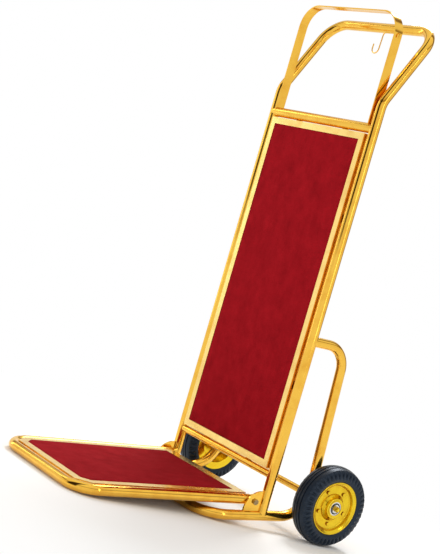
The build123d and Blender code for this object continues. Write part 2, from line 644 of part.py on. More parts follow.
def make_rim_bolts():
    """Hexagon bolts from outboard and their nuts."""
    head_x = RIM_SPLIT + LAY_GAP / 2 + RIM_T + LAY_GAP
    nut_x = RIM_SPLIT - LAY_GAP / 2 - RIM_T - LAY_GAP
    bolt = hexagon(RIM_BOLT_FLATS, head_x, head_x + RIM_BOLT_HEAD_T)
    bolt += rod_x(nut_x - RIM_NUT_T, head_x, RIM_BOLT_D / 2)
    nut = hexagon(RIM_BOLT_FLATS, nut_x - RIM_NUT_T, nut_x)
    nut -= rod_x(nut_x - RIM_NUT_T, nut_x, RIM_BOLT_D / 2 + LAY_GAP)
    return bolt_circle(bolt), bolt_circle(nut)


def make_hub():
    """Hub barrel with a bearing seat in each end."""
    seat = HUB_HALF_LENGTH - BEARING_RECESS - BEARING_WIDTH
    hub = rod_x(-HUB_HALF_LENGTH, HUB_HALF_LENGTH, HUB_R, bore=HUB_BORE_R)
    for ends in ((-HUB_HALF_LENGTH, -seat), (seat, HUB_HALF_LENGTH)):
        hub -= rod_x(*ends, BEARING_R + LAY_GAP / 2)
    return hub


def make_bearings():
    """Two sealed ball bearings: outer rings, inner rings, balls and seals."""
    ball_r = BALL_D / 2
    bore = ROD_D / 2 + RUN_CLEARANCE
    pitch = (bore + BEARING_R) / 2
    outer, inner, balls, seals = [], [], [], []
    seal_r = BEARING_R - RACE_T - LAY_GAP
    seal_bore = bore + RACE_T + LAY_GAP
    for sign in (-1, 1):
        end = sign * (HUB_HALF_LENGTH - BEARING_RECESS)
        start = end - sign * BEARING_WIDTH
        middle = (start + end) / 2
        groove = Pos(middle, 0, 0) * Rot(0, 90, 0) * Torus(pitch, ball_r + LAY_GAP / 2)
        outer.append(rod_x(start, end, BEARING_R, bore=BEARING_R - RACE_T) - groove)
        inner.append(rod_x(start, end, bore + RACE_T, bore=bore) - groove)
        for index in range(BALL_COUNT):
            place = Rot(360 / BALL_COUNT * index, 0, 0) * Pos(middle, 0, pitch)
            balls.append(place * Sphere(ball_r))
        for face, inward in ((end, -sign), (start, sign)):
            seals.append(rod_x(face, face + inward * SEAL_T, seal_r, bore=seal_bore))
    return outer, inner, balls, seals


# --- Garment hook -------------------------------------------------------------------------
def make_hook():
    """Bent wire with its pin on the X axis, hanging plumb when the cart is parked."""
    shank_x = STRAP_X - HOOK_REACH
    tail_x = STRAP_X + HOOK_TAIL_OUT
    line = FilletPolyline(
        (tail_x, 0, -HOOK_TAIL), (tail_x, 0, 0), (shank_x, 0, 0), (shank_x, 0, -HOOK_SHANK),
        radius=[HOOK_TAIL_BEND_R, HOOK_BEND_R],
    )
    curve = ThreePointArc(
        (shank_x, 0, -HOOK_SHANK), (shank_x - HOOK_R, 0, -HOOK_SHANK - HOOK_R),
        (shank_x - 2 * HOOK_R, 0, -HOOK_SHANK),
    )
    tip_x = shank_x - 2 * HOOK_R
    tip = Line((tip_x, 0, -HOOK_SHANK), (tip_x, 0, HOOK_TIP - HOOK_SHANK))
    wire = round_bar(Wire(line.edges() + curve.edges() + tip.edges()), WIRE_R)
    return Location((0, 0, HOOK_HEIGHT), (-LEAN, 0, 0)) * wire


# --- The whole cart -----------------------------------------------------------------------
def save_frame():
    """Tubes, crossbars, hoop, panel, hinge and axle, all on one body."""
    main_bar, loop_bar, main_tube, loop_tube = make_frame_tubes()
    save("main_tube", stand(main_tube))
    save("base_loop", stand(loop_tube))
    top_bar = rod_x(-UPRIGHT_X, UPRIGHT_X, TUBE_R, z=TOP_BAR_HEIGHT)
    bottom_bar = rod_x(-UPRIGHT_X, UPRIGHT_X, BAR_R, z=BOTTOM_BAR_HEIGHT)
    save("top_crossbar", stand(make_crossbar(TOP_BAR_HEIGHT, TUBE_R, TUBE_WALL, main_bar)))
    save("bottom_crossbar", stand(make_crossbar(BOTTOM_BAR_HEIGHT, BAR_R, BAR_WALL, main_bar)))
    strap, pads = make_hoop(main_bar, top_bar)
    save("hoop_strap", stand(strap))
    save("hoop_spacers", *[stand(pad) for pad in pads])
    sides, board, carpet, lugs, screws = make_panel(main_bar, top_bar, bottom_bar)
    for side, trim in sides.items():
        save(f"panel_trim_{side}", stand(trim))
    save("panel_board", stand(board))
    save("panel_carpet", stand(carpet))
    save("panel_lugs", *[stand(lug) for lug in lugs])
    save("panel_screws", *[stand(piece) for piece in screws])
    plate, washer, bolt, nut = make_hinge(main_bar, loop_bar)
    for side, piece in zip(("right", "left"), both_sides(plate)):
        save(f"{side}_hinge_plate", stand(piece))
    save("hinge_washers", *[stand(piece) for piece in both_sides(washer)])
    save("hinge_bolts", *[stand(piece) for piece in both_sides(bolt)])
    save("hinge_nuts", *[stand(piece) for piece in both_sides(nut)])
    save("rest_buffers", *[stand(piece) for piece in make_buffers(loop_bar)])
    tube, rod, spacer, washer, nut = make_axle(loop_bar)
    save("axle_tube", stand(tube))
    save("axle_rod", stand(rod))
    save("axle_spacers", *[stand(piece) for piece in both_sides(spacer)])
    save("axle_washers", *[stand(piece) for piece in both_sides(washer)])
    save("cap_nuts", *[stand(piece) for piece in both_sides(nut)])


def save_platform():
    """The folding platform."""
    tube, trim, rear_trim, board, carpet, rails, screws = make_platform()
    save("platform_tube", stand(on_deck(tube)))
    save("platform_trim", stand(on_deck(trim)))
    save("platform_rear_trim", stand(on_deck(rear_trim)))
    save("platform_board", stand(on_deck(board)))
    save("platform_carpet", stand(on_deck(carpet)))
    save("platform_rails", *[stand(on_deck(rail)) for rail in rails])
    save("platform_screws", *[stand(on_deck(piece)) for piece in screws])


def save_wheels():
    """Both wheels, the left one mirrored."""
    inner_tube, valve = make_inner_tube()
    bolts, nuts = make_rim_bolts()
    outer, inner, balls, seals = make_bearings()
    pieces = {
        "tyre": [make_tyre()],
        "inner_tube": [inner_tube],
        "valve": [valve],
        "rim_outer": [make_rim_half(1)],
        "rim_inner": [make_rim_half(-1)],
        "rim_bolts": bolts,
        "rim_nuts": nuts,
        "hub": [make_hub()],
        "bearing_outer_rings": outer,
        "bearing_inner_rings": inner,
        "bearing_balls": balls,
        "bearing_seals": seals,
    }
    for name, solids in pieces.items():
        placed = [on_axle(Pos(WHEEL_X, 0, 0) * solid) for solid in solids]
        save(f"right_{name}", *[stand(solid) for solid in placed])
        save(f"left_{name}", *[stand(mirror(solid, Plane.YZ)) for solid in placed])


save_frame()
save_platform()
save_wheels()
save("garment_hook", stand(make_hook()))
print(f"lean {LEAN:.3f}, platform dip {DECK_DIP:.3f}")
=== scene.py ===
"""Finishes a two-wheeled hotel luggage cart: plated tubes, cut-pile carpet, air tyres and pressed rims."""
import json
import math

import bmesh
import bpy
from bpy.props import FloatProperty, FloatVectorProperty, IntProperty, PointerProperty
from mathutils import Matrix, Vector, noise


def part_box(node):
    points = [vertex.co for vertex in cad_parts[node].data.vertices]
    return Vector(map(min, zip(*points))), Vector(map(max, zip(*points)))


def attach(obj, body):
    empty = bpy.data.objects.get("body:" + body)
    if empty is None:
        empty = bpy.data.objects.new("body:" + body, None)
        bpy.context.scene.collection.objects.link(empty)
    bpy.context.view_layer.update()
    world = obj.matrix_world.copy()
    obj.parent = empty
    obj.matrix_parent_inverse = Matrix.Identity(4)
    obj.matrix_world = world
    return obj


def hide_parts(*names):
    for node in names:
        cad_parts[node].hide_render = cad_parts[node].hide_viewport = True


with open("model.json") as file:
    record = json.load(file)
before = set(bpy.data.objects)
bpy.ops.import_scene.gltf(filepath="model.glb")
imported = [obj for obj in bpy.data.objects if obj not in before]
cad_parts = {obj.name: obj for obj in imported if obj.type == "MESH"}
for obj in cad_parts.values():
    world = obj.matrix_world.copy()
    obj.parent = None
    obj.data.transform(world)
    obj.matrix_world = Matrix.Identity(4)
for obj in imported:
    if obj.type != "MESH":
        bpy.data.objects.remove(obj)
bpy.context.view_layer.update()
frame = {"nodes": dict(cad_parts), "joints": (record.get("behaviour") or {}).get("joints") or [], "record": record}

bl_info = {
    "name": "Luggage Cart Finisher",
    "version": (1, 0, 0),
    "blender": (4, 5, 0),
    "location": "View3D > Sidebar > Luggage Cart",
    "description": "Adds carpet, tyres, rims, finishes and a small studio to a luggage cart",
    "category": "Object",
}

SIDES = ("left", "right")
LUG_FACETS = 5      # mesh steps from one shoulder lug to the next
SLOT_FACETS = 2     # of which this many sink to make the slot
MOUNTS = {mount["name"]: mount for mount in frame["record"]["mounts"]}
JOINTS = {joint["name"]: joint for joint in frame["joints"]}


# --- Settings ---------------------------------------------------------------------------
class CartSizes(bpy.types.PropertyGroup):
    pile_crown: FloatProperty(
        name="Pile crown", description="How far the carpet's pile swells in its middle",
        default=0.0006, unit="LENGTH")
    pile_round: FloatProperty(
        name="Pile edge", description="Width over which the pile rolls down to its edge",
        default=0.0035, unit="LENGTH")
    pile_step: FloatProperty(
        name="Pile grid", description="Spacing of the carpet mesh", default=0.0042, unit="LENGTH")
    corner_cut: FloatProperty(
        name="Corner cut", description="Length cut off each front corner of the platform carpet",
        default=0.020, unit="LENGTH")
    lug_count: IntProperty(
        name="Shoulder lugs", description="Lugs round each shoulder of a tyre", default=44, min=8)
    lug_depth: FloatProperty(
        name="Lug depth", description="Depth of the slots between lugs", default=0.0056, unit="LENGTH")
    groove_depth: FloatProperty(
        name="Tread groove", description="Depth of the grooves round the tread",
        default=0.0030, unit="LENGTH")
    lip_radius: FloatProperty(
        name="Rim lip", description="Radius of the rolled edge of a rim", default=0.0021, unit="LENGTH")


class CartColours(bpy.types.PropertyGroup):
    gold: FloatVectorProperty(
        name="Gold", description="Plating on the tubes", subtype="COLOR", size=3, min=0, max=1,
        default=(0.90, 0.53, 0.075))
    pale_gold: FloatVectorProperty(
        name="Pale gold", description="Plating on the flat trims", subtype="COLOR", size=3, min=0, max=1,
        default=(0.96, 0.70, 0.24))
    wheel_gold: FloatVectorProperty(
        name="Wheel gold", description="Plating on the rims and hubs", subtype="COLOR", size=3, min=0, max=1,
        default=(0.80, 0.56, 0.028))
    carpet: FloatVectorProperty(
        name="Carpet", description="Cut pile", subtype="COLOR", size=3, min=0, max=1,
        default=(0.325, 0.0045, 0.0100))
    tyre: FloatVectorProperty(
        name="Tyre", description="Tyre rubber", subtype="COLOR", size=3, min=0, max=1,
        default=(0.0090, 0.0142, 0.0245))
    steel: FloatVectorProperty(
        name="Steel", description="Bright steel", subtype="COLOR", size=3, min=0, max=1,
        default=(0.72, 0.72, 0.70))
    bronze: FloatVectorProperty(
        name="Bronzed steel", description="Plated bolts, nuts and screws", subtype="COLOR", size=3,
        min=0, max=1, default=(0.34, 0.24, 0.12))
    board: FloatVectorProperty(
        name="Board", description="Sealed plywood", subtype="COLOR", size=3, min=0, max=1,
        default=(0.30, 0.16, 0.07))


class CartStage(bpy.types.PropertyGroup):
    camera_place: FloatVectorProperty(
        name="Camera", description="Where the camera stands", subtype="TRANSLATION", size=3,
        default=(2.6964, -2.0430, 0.6314))
    camera_target: FloatVectorProperty(
        name="Target", description="Point that the camera looks at", subtype="TRANSLATION", size=3,
        default=(-0.0263, -0.0357, 0.5547))
    camera_roll: FloatProperty(
        name="Roll", description="Turn of the camera round its line of sight",
        default=math.radians(18.315), subtype="ANGLE")
    lens: FloatProperty(name="Lens", description="Focal length in millimetres", default=87.85)
    floor_size: FloatProperty(
        name="Floor", description="Half width of the floor", default=16.0, unit="LENGTH")
    key_power: FloatProperty(name="Key", description="Power of the overhead softbox", default=56.0)


def sizes():
    return bpy.context.scene.cart_sizes


def colours():
    return bpy.context.scene.cart_colours


# --- Shader groups ----------------------------------------------------------------------
def new_group(name, inputs, outputs):
    """Empty shader group with float inputs (name, default) and outputs (name, kind)."""
    group = bpy.data.node_groups.new(name, "ShaderNodeTree")
    for label, default in inputs:
        socket = group.interface.new_socket(label, in_out="INPUT", socket_type="NodeSocketFloat")
        socket.default_value = default
    for label, kind in outputs:
        group.interface.new_socket(label, in_out="OUTPUT", socket_type=kind)
    nodes = group.nodes
    return group, nodes.new("NodeGroupInput"), nodes.new("NodeGroupOutput")


def noise_node(tree, scale, detail=3.0, rough=0.5, stretch=None, offset=0.0):
    """Noise on Object coordinates, stretched where stretch is given."""
    place = tree.nodes.new("ShaderNodeTexCoord")
    texture = tree.nodes.new("ShaderNodeTexNoise")
    texture.inputs["Scale"].default_value = scale
    texture.inputs["Detail"].default_value = detail
    texture.inputs["Roughness"].default_value = rough
    mapping = tree.nodes.new("ShaderNodeMapping")
    mapping.inputs["Location"].default_value = (offset, offset, offset)
    mapping.inputs["Scale"].default_value = stretch or (1, 1, 1)
    tree.links.new(place.outputs["Object"], mapping.inputs["Vector"])
    tree.links.new(mapping.outputs["Vector"], texture.inputs["Vector"])
    return texture.outputs["Fac"]


def spread(tree, value, low, high, out_low=0.0, out_high=1.0):
    """Map Range from low..high to out_low..out_high, clamped."""
    node = tree.nodes.new("ShaderNodeMapRange")
    tree.links.new(value, node.inputs["Value"])
    for label, number in (("From Min", low), ("From Max", high), ("To Min", out_low), ("To Max", out_high)):
        node.inputs[label].default_value = number
    return node.outputs["Result"]


def maths(tree, operation, first, second):
    """A Math node whose inputs are sockets or numbers."""
    node = tree.nodes.new("ShaderNodeMath")
    node.operation = operation
    for socket, value in zip(node.inputs, (first, second)):
        if isinstance(value, (int, float)):
            socket.default_value = value
        else:
            tree.links.new(value, socket)
    return node.outputs["Value"]


def polish_group():
    """Cloth smears and fine rub marks left on plating."""
    group, entry, out = new_group(
        "polish_marks", [("Amount", 1.0)],
        [("Smear", "NodeSocketFloat"), ("Tarnish", "NodeSocketFloat"), ("Height", "NodeSocketFloat")])
    smear = spread(group, noise_node(group, 9.0, 4.0, 0.6), 0.42, 0.72)
    rub = noise_node(group, 260.0, 2.0, 0.5, stretch=(1, 1, 0.06))
    tarnish = spread(group, noise_node(group, 21.0, 5.0, 0.65, offset=3.0), 0.46, 0.78)
    wave = noise_node(group, 26.0, 1.0, 0.4, offset=7.0)
    group.links.new(maths(group, "MULTIPLY", smear, entry.outputs["Amount"]), out.inputs["Smear"])
    group.links.new(maths(group, "MULTIPLY", tarnish, entry.outputs["Amount"]), out.inputs["Tarnish"])
    height = maths(group, "ADD", maths(group, "MULTIPLY", rub, 0.25), wave)
    group.links.new(height, out.inputs["Height"])
    return group


def pile_group():
    """Cut pile: tufts, brushed patches and soft wheel tracks of lighter nap."""
    group, entry, out = new_group(
        "cut_pile", [("Tuft scale", 520.0)],
        [("Nap", "NodeSocketFloat"), ("Tuft", "NodeSocketFloat"), ("Height", "NodeSocketFloat")])
    patch = noise_node(group, 26.0, 5.0, 0.66)
    streak = noise_node(group, 42.0, 3.0, 0.6, stretch=(1, 0.45, 0.45), offset=2.0)
    nap = maths(group, "ADD", maths(group, "MULTIPLY", patch, 0.6), maths(group, "MULTIPLY", streak, 0.4))
    cell_place = group.nodes.new("ShaderNodeTexCoord")
    cell = group.nodes.new("ShaderNodeTexVoronoi")
    group.links.new(cell_place.outputs["Object"], cell.inputs["Vector"])
    group.links.new(entry.outputs["Tuft scale"], cell.inputs["Scale"])
    fibre = noise_node(group, 1400.0, 2.0, 0.6, offset=5.0)
    tuft = maths(group, "ADD", maths(group, "MULTIPLY", cell.outputs["Distance"], 0.7),
                 maths(group, "MULTIPLY", fibre, 0.5))
    group.links.new(spread(group, nap, 0.34, 0.66), out.inputs["Nap"])
    group.links.new(tuft, out.inputs["Tuft"])
    group.links.new(maths(group, "ADD", tuft, maths(group, "MULTIPLY", nap, 0.8)), out.inputs["Height"])
    return group


def scuff_group():
    """Dust and scuffs on rubber."""
    group, entry, out = new_group(
        "rubber_scuff", [("Dust", 0.5)],
        [("Mask", "NodeSocketFloat"), ("Height", "NodeSocketFloat")])
    broad = spread(group, noise_node(group, 24.0, 5.0, 0.65), 0.45, 0.75)
    fine = noise_node(group, 420.0, 3.0, 0.7, offset=4.0)
    mask = maths(group, "MULTIPLY", maths(group, "MULTIPLY", broad, fine), entry.outputs["Dust"])
    group.links.new(mask, out.inputs["Mask"])
    group.links.new(maths(group, "ADD", fine, broad), out.inputs["Height"])
    return group


def shared_group(name):
    """One of the shader groups above, built once."""
    makers = {"polish_marks": polish_group, "cut_pile": pile_group, "rubber_scuff": scuff_group}
    return bpy.data.node_groups.get(name) or makers[name]()


# --- Materials --------------------------------------------------------------------------
def new_material(name):
    material = bpy.data.materials.new(name)
    material.use_nodes = True
    return material, material.node_tree, material.node_tree.nodes["Principled BSDF"]


def add_group(tree, name, **values):
    node = tree.nodes.new("ShaderNodeGroup")
    node.node_tree = shared_group(name)
    for label, value in values.items():
        node.inputs[label.replace("_", " ")].default_value = value
    return node


def two_tone(tree, mask, dark, light, socket):
    """Mix two colours by a mask into a colour socket."""
    mix = tree.nodes.new("ShaderNodeMix")
    mix.data_type = "RGBA"
    mix.inputs["A"].default_value = (*dark, 1.0)
    mix.inputs["B"].default_value = (*light, 1.0)
    tree.links.new(mask, mix.inputs["Factor"])
    tree.links.new(mix.outputs["Result"], socket)


def bump(tree, height, shader, strength, distance):
    node = tree.nodes.new("ShaderNodeBump")
    node.inputs["Strength"].default_value = strength
    node.inputs["Distance"].default_value = distance
    tree.links.new(height, node.inputs["Height"])
    tree.links.new(node.outputs["Normal"], shader.inputs["Normal"])


def shade(colour, factor):
    return tuple(channel * factor for channel in colour)


def plated(name, colour, rough, marks=1.0, relief=0.012, painted_shade_reach=0.0):
    """Polished plating with faint smears and warm tarnish; where a shade reach is given, painted shade browns the
    colour in inner corners.
    """
    material, tree, shader = new_material(name)
    shader.inputs["Metallic"].default_value = 1.0
    polish = add_group(tree, "polish_marks", Amount=marks)
    warm = (colour[0] * 0.86, colour[1] * 0.72, colour[2] * 0.55)
    target = shader.inputs["Base Color"]
    # Painted shade: ambient occlusion browns the base colour in inner corners and grooves, standing in for shade
    # and dark reflections there.
    if painted_shade_reach:
        corner_shade_ao = tree.nodes.new("ShaderNodeAmbientOcclusion")
        corner_shade_ao.samples = 8
        corner_shade_ao.inputs["Distance"].default_value = painted_shade_reach
        mix = tree.nodes.new("ShaderNodeMix")
        mix.data_type = "RGBA"
        # Dark brown of the plating, used as the painted shade colour.
        mix.inputs["A"].default_value = (colour[0] * 0.42, colour[1] * 0.20, colour[2] * 0.40, 1.0)
        tree.links.new(spread(tree, corner_shade_ao.outputs["AO"], 0.40, 0.86), mix.inputs["Factor"])
        tree.links.new(mix.outputs["Result"], target)
        target = mix.inputs["B"]
    two_tone(tree, polish.outputs["Tarnish"], colour, warm, target)
    smeared = spread(tree, polish.outputs["Smear"], 0, 1, rough, rough + 0.10)
    tree.links.new(smeared, shader.inputs["Roughness"])
    bump(tree, polish.outputs["Height"], shader, relief, 0.0005)
    return material


def carpet_material():
    material, tree, shader = new_material("crimson_carpet")
    colour = colours().carpet
    pile = add_group(tree, "cut_pile", Tuft_scale=520.0)
    mix = tree.nodes.new("ShaderNodeMix")
    mix.data_type = "RGBA"
    mix.blend_type = "MULTIPLY"
    mix.inputs["Factor"].default_value = 0.75
    two_tone(tree, pile.outputs["Nap"], shade(colour, 0.80), shade(colour, 1.14), mix.inputs["A"])
    tuft = spread(tree, pile.outputs["Tuft"], 0.15, 0.75)
    two_tone(tree, tuft, (0.50, 0.42, 0.42), (1.0, 1.0, 1.0), mix.inputs["B"])
    tree.links.new(mix.outputs["Result"], shader.inputs["Base Color"])
    tree.links.new(spread(tree, pile.outputs["Nap"], 0, 1, 0.97, 0.84), shader.inputs["Roughness"])
    shader.inputs["Sheen Weight"].default_value = 0.03
    shader.inputs["Sheen Roughness"].default_value = 0.45
    shader.inputs["Sheen Tint"].default_value = (0.9, 0.12, 0.15, 1.0)
    shader.inputs["Specular IOR Level"].default_value = 0.06
    bump(tree, pile.outputs["Height"], shader, 0.55, 0.0012)
    return material


def rubber_material(name, colour, rough, dust):
    material, tree, shader = new_material(name)
    scuff = add_group(tree, "rubber_scuff", Dust=dust)
    two_tone(tree, scuff.outputs["Mask"], colour, (0.070, 0.076, 0.088), shader.inputs["Base Color"])
    dulled = spread(tree, scuff.outputs["Mask"], 0, 0.5, rough, rough + 0.25)
    tree.links.new(dulled, shader.inputs["Roughness"])
    shader.inputs["Specular IOR Level"].default_value = 0.32
    shader.inputs["Specular Tint"].default_value = (0.62, 0.78, 1.0, 1.0)
    bump(tree, scuff.outputs["Height"], shader, 0.10, 0.0003)
    return material


def steel_material(name, colour, rough):
    material, tree, shader = new_material(name)
    shader.inputs["Metallic"].default_value = 1.0
    polish = add_group(tree, "polish_marks", Amount=0.8)
    two_tone(tree, polish.outputs["Tarnish"], colour, shade(colour, 0.7), shader.inputs["Base Color"])
    smeared = spread(tree, polish.outputs["Smear"], 0, 1, rough, rough + 0.2)
    tree.links.new(smeared, shader.inputs["Roughness"])
    bump(tree, polish.outputs["Height"], shader, 0.08, 0.0003)
    return material


def board_material():
    """Plywood under a sealer, with its grain along Z and Y."""
    material, tree, shader = new_material("sealed_plywood")
    colour = colours().board
    grain = noise_node(tree, 60.0, 6.0, 0.65, stretch=(1, 0.05, 0.05))
    two_tone(tree, spread(tree, grain, 0.35, 0.65), shade(colour, 0.6), shade(colour, 1.3),
             shader.inputs["Base Color"])
    tree.links.new(spread(tree, grain, 0.3, 0.7, 0.5, 0.65), shader.inputs["Roughness"])
    bump(tree, grain, shader, 0.2, 0.0005)
    return material


FINISHES = {
    "polished_tube": lambda: plated("gold_tube", colours().gold, 0.085),
    "gilt_trim": lambda: plated("gold_trim", colours().pale_gold, 0.22, relief=0.02),
    # The rims and hub bosses get painted shade in their inner corners.
    "wheel_gold": lambda: plated("gold_wheel", colours().wheel_gold, 0.17, relief=0.02, painted_shade_reach=0.014),
    "carpet": carpet_material,
    "plywood": board_material,
    "tyre_rubber": lambda: rubber_material("tyre_rubber", colours().tyre, 0.36, 0.14),
    "soft_rubber": lambda: rubber_material("soft_rubber", (0.012, 0.012, 0.012), 0.6, 0.25),
    "plated_steel": lambda: steel_material("bronzed_steel", colours().bronze, 0.26),
    "bright_steel": lambda: steel_material("bright_steel", colours().steel, 0.14),
}


def finish_material(slot_name):
    """The finish for a record slot, made once."""
    key = "finish_" + slot_name
    if key not in bpy.data.materials:
        material = FINISHES[slot_name]()
        material.name = key
    return bpy.data.materials[key]


# --- Mesh helpers -----------------------------------------------------------------------
def add_piece(name, shape, body, slot_name, *stands_for):
    """Turn a bmesh into a finished piece that rides on a body."""
    mesh = bpy.data.meshes.new(name)
    bmesh.ops.recalc_face_normals(shape, faces=shape.faces)
    shape.to_mesh(mesh)
    shape.free()
    piece = bpy.data.objects.new(name, mesh)
    bpy.context.scene.collection.objects.link(piece)
    piece.data.materials.append(finish_material(slot_name))
    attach(piece, body)
    if stands_for:
        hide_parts(*stands_for)
    return piece


def smooth(piece, angle):
    """Smooth shading, with edges sharper than angle kept crisp."""
    mesh = piece.data
    mesh.shade_smooth()
    mesh.set_sharp_from_angle(angle=math.radians(angle))


def lathe(profile, steps, closed=True):
    """Spin a profile of (along the axle, radius) points about the X axis."""
    shape = bmesh.new()
    points = [shape.verts.new((x, 0.0, radius)) for x, radius in profile]
    pairs = list(zip(points, points[1:]))
    if closed:
        pairs.append((points[-1], points[0]))
    edges = [shape.edges.new(pair) for pair in pairs]
    bmesh.ops.spin(shape, geom=points + edges, cent=(0, 0, 0), axis=(1, 0, 0), dvec=(0, 0, 0),
                   angle=math.tau, steps=steps, use_merge=True, use_duplicate=False)
    bmesh.ops.remove_doubles(shape, verts=shape.verts, dist=1e-6)
    return shape


def arc(centre, radius, start, end, count):
    """Points on an arc in the profile plane; angles in degrees from +x towards +radius."""
    points = []
    for index in range(count + 1):
        turn = math.radians(start + (end - start) * index / count)
        points.append((centre[0] + radius * math.cos(turn), centre[1] + radius * math.sin(turn)))
    return points


def place_wheel(shape, side):
    """Move a shape from the X axis at the origin to a wheel, mirrored for the left one."""
    if side == "left":
        bmesh.ops.scale(shape, vec=(-1, 1, 1), verts=shape.verts)
    middle = Vector(JOINTS[side + "_wheel_spin"]["pos_m"])
    bmesh.ops.translate(shape, vec=middle, verts=shape.verts)


def face_plane(mount_name):
    """Matrix of a flat face: its X is the row's X, its Z the face's outward normal."""
    mount = MOUNTS[mount_name]
    normal = Vector(mount["axis"]).normalized()
    side = Vector((1, 0, 0))
    up = normal.cross(side)
    turn = Matrix((side, up, normal)).transposed().to_4x4()
    return Matrix.Translation(Vector(mount["pos_m"])) @ turn


def extent(node, plane):
    """Lowest and highest corner of a node in a plane's own axes."""
    back = plane.inverted()
    points = [back @ vertex.co for vertex in frame["nodes"][node].data.vertices]
    low = Vector([min(point[i] for point in points) for i in range(3)])
    high = Vector([max(point[i] for point in points) for i in range(3)])
    return low, high


# --- Carpets ----------------------------------------------------------------------------
def make_carpet(name, node, mount_name, body, cuts):
    """Cut pile stretched on a board: rolled edges, a slight crown and a soft uneven nap."""
    set_up = sizes()
    plane = face_plane(mount_name)
    low, high = extent(node, plane)
    width, length, thick = high - low
    middle = (low + high) / 2
    shape = bmesh.new()
    columns, rows = round(width / set_up.pile_step), round(length / set_up.pile_step)
    bmesh.ops.create_grid(shape, x_segments=columns, y_segments=rows, size=0.5)
    bmesh.ops.scale(shape, vec=(width, length, 1), verts=shape.verts)
    for sign_x, sign_y in cuts:
        direction = Vector((sign_x, sign_y, 0)).normalized()
        corner = Vector((sign_x * (width / 2 - set_up.corner_cut), sign_y * length / 2, 0))
        geometry = shape.verts[:] + shape.edges[:] + shape.faces[:]
        bmesh.ops.bisect_plane(shape, geom=geometry, dist=1e-6, plane_co=corner, plane_no=direction,
                               clear_outer=True)
    for vertex in shape.verts:
        spot = vertex.co.copy()
        inset = min(width / 2 - abs(spot.x), length / 2 - abs(spot.y))
        for sign_x, sign_y in cuts:
            direction = Vector((sign_x, sign_y, 0)).normalized()
            corner = Vector((sign_x * (width / 2 - set_up.corner_cut), sign_y * length / 2, 0))
            inset = min(inset, (corner - spot).dot(direction))
        roll = min(max(inset, 0.0) / set_up.pile_round, 1.0)
        drop = thick * 0.45 * (1 - math.sqrt(1 - (1 - roll) ** 2))
        nap = noise.noise(spot * 45) * 0.00022 + noise.noise(spot * 210) * 0.00016
        vertex.co.z = thick / 2 - drop + (nap + set_up.pile_crown) * roll
    floor_ring = bmesh.ops.extrude_face_region(shape, geom=shape.faces[:])
    for vertex in floor_ring["geom"]:
        if isinstance(vertex, bmesh.types.BMVert):
            vertex.co.z = -thick / 2
    bmesh.ops.transform(shape, matrix=plane @ Matrix.Translation(middle), verts=shape.verts)
    carpet = add_piece(name, shape, body, "carpet", node)
    smooth(carpet, 50)
    return carpet


# --- Wheels -----------------------------------------------------------------------------
def tyre_profile(half, radius, flange, depth):
    """Outer line of a tyre from its outboard bead over the tread, with two grooves, and closed inside."""
    bead = half * 0.82
    tread = half * 0.74
    shoulder = radius * 0.955
    side = [(bead, flange), (half * 0.93, flange + radius * 0.035), (half * 0.985, radius * 0.765)]
    side += [(half * 0.995, radius * 0.81), (half * 0.97, radius * 0.86), (half * 0.92, radius * 0.90)]
    side += [(half * 0.86, radius * 0.93), (tread, shoulder)]
    crown = []
    for start, end in ((0.66, 0.40), (0.28, 0.07)):
        for share in (start, (start + end) / 2, end):
            crown.append((half * share, shoulder + (radius - shoulder) * (1 - (share / 0.74) ** 2)))
    outer = [side[-1], crown[0], crown[1], crown[2]]
    groove = [(half * 0.385, crown[2][1] - depth), (half * 0.295, crown[3][1] - depth)]
    centre = [(half * 0.055, crown[5][1] - depth * 0.7)]
    right = side[:-1] + outer + groove + crown[3:] + centre
    left = [(-x, r) for x, r in reversed(right)]
    inner = [(-half * 0.3, flange * 0.94), (half * 0.3, flange * 0.94)]
    return right + left + inner


def make_tyre(side):
    """Air tyre with grooves round the tread and slots cut into both shoulders."""
    set_up = sizes()
    low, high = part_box(side + "_tyre")
    half = (high.x - low.x) / 2
    radius = (high.z - low.z) / 2
    rim_low, rim_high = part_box(side + "_rim_outer")
    flange = (rim_high.z - rim_low.z) / 2 - 0.0012
    steps = set_up.lug_count * LUG_FACETS
    shape = lathe(tyre_profile(half, radius * 0.9995, flange, set_up.groove_depth), steps)
    slot_low, slot_high = radius * 0.79, radius * 0.948
    step_angle = math.tau / steps
    for vertex in shape.verts:
        out = math.hypot(vertex.co.y, vertex.co.z)
        if abs(vertex.co.x) < half * 0.5 or not slot_low < out < slot_high:
            continue
        index = round(math.atan2(vertex.co.y, vertex.co.z) / step_angle) % LUG_FACETS
        if index < SLOT_FACETS:
            share = math.sin(math.pi * min(max((out - slot_low) / (slot_high - slot_low), 0.12), 0.9))
            sink = set_up.lug_depth * (0.35 + 0.65 * share)
            inward = Vector((math.copysign(0.55, vertex.co.x), 0, 0))
            inward += Vector((0, vertex.co.y, vertex.co.z)) / out * 0.83
            vertex.co -= inward * sink
    place_wheel(shape, side)
    tyre = add_piece(side + "_tread_tyre", shape, side + "_wheel", "tyre_rubber", side + "_tyre")
    smooth(tyre, 34)
    return tyre


